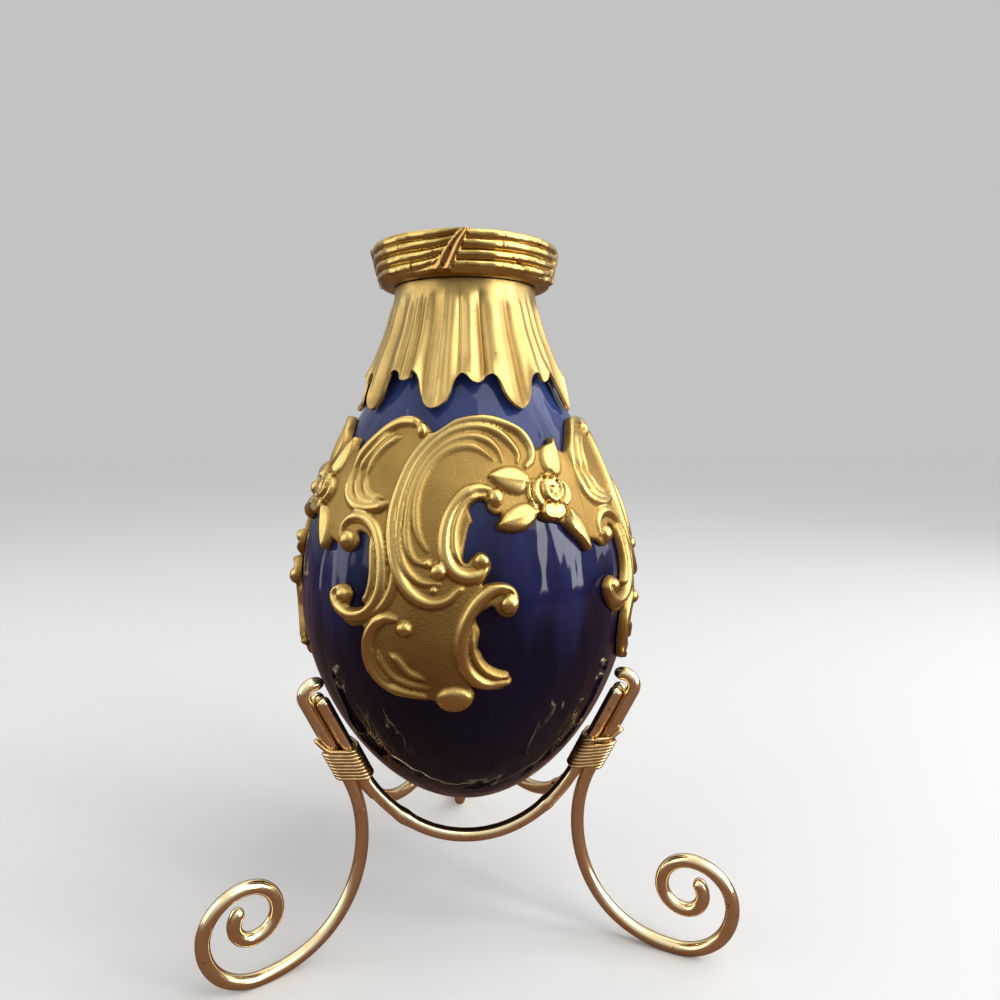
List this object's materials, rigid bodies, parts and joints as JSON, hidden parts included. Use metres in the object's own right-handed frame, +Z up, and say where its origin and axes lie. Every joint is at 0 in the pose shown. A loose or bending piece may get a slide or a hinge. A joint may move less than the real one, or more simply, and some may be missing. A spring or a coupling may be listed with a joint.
{
  "type": "egg vase on stand",
  "caption": "Egg-shaped cobalt glass vase with pierced gilt scroll girdle, lobed neck collar and reeded rim ring, resting loose in a bent-rod stand with hooked, scrolled legs and wire bindings.",
  "frame": {"origin": "on the table plane, under the middle of the whole object's width and depth; the vase's own axis stands about 14.5 mm in front of it", "axes": "+Z up along the vase's axis; -Y is the front, between the two front legs; the third leg points to +Y"},
  "size_m": [0.1334, 0.1244, 0.185],
  "materials": {
    "cobalt_glass": "gloss",
    "satin_gilt": "satin with polished scroll crests",
    "gilt": "polished",
    "gilt_rod": "polished",
    "gilt_wire": "polished"
  },
  "bodies": {
    "stand": {"leg_left": "gilt_rod", "leg_right": "gilt_rod", "leg_back": "gilt_rod", "swag_front": "gilt_rod", "swag_left": "gilt_rod", "swag_right": "gilt_rod", "binding_left": "gilt_wire", "binding_right": "gilt_wire", "binding_back": "gilt_wire"},
    "vase": {"glass_egg": "cobalt_glass", "neck_collar": "satin_gilt", "rim_ring": "gilt", "overlay_1": "satin_gilt", "overlay_2": "satin_gilt", "overlay_3": "satin_gilt", "overlay_4": "satin_gilt"}
  },
  "joints": [
    {"name": "vase_lift", "type": "slide", "parent": "stand", "child": "vase", "axis": [0, 0, 1], "range_m": [0, 0.06]}
  ]
}
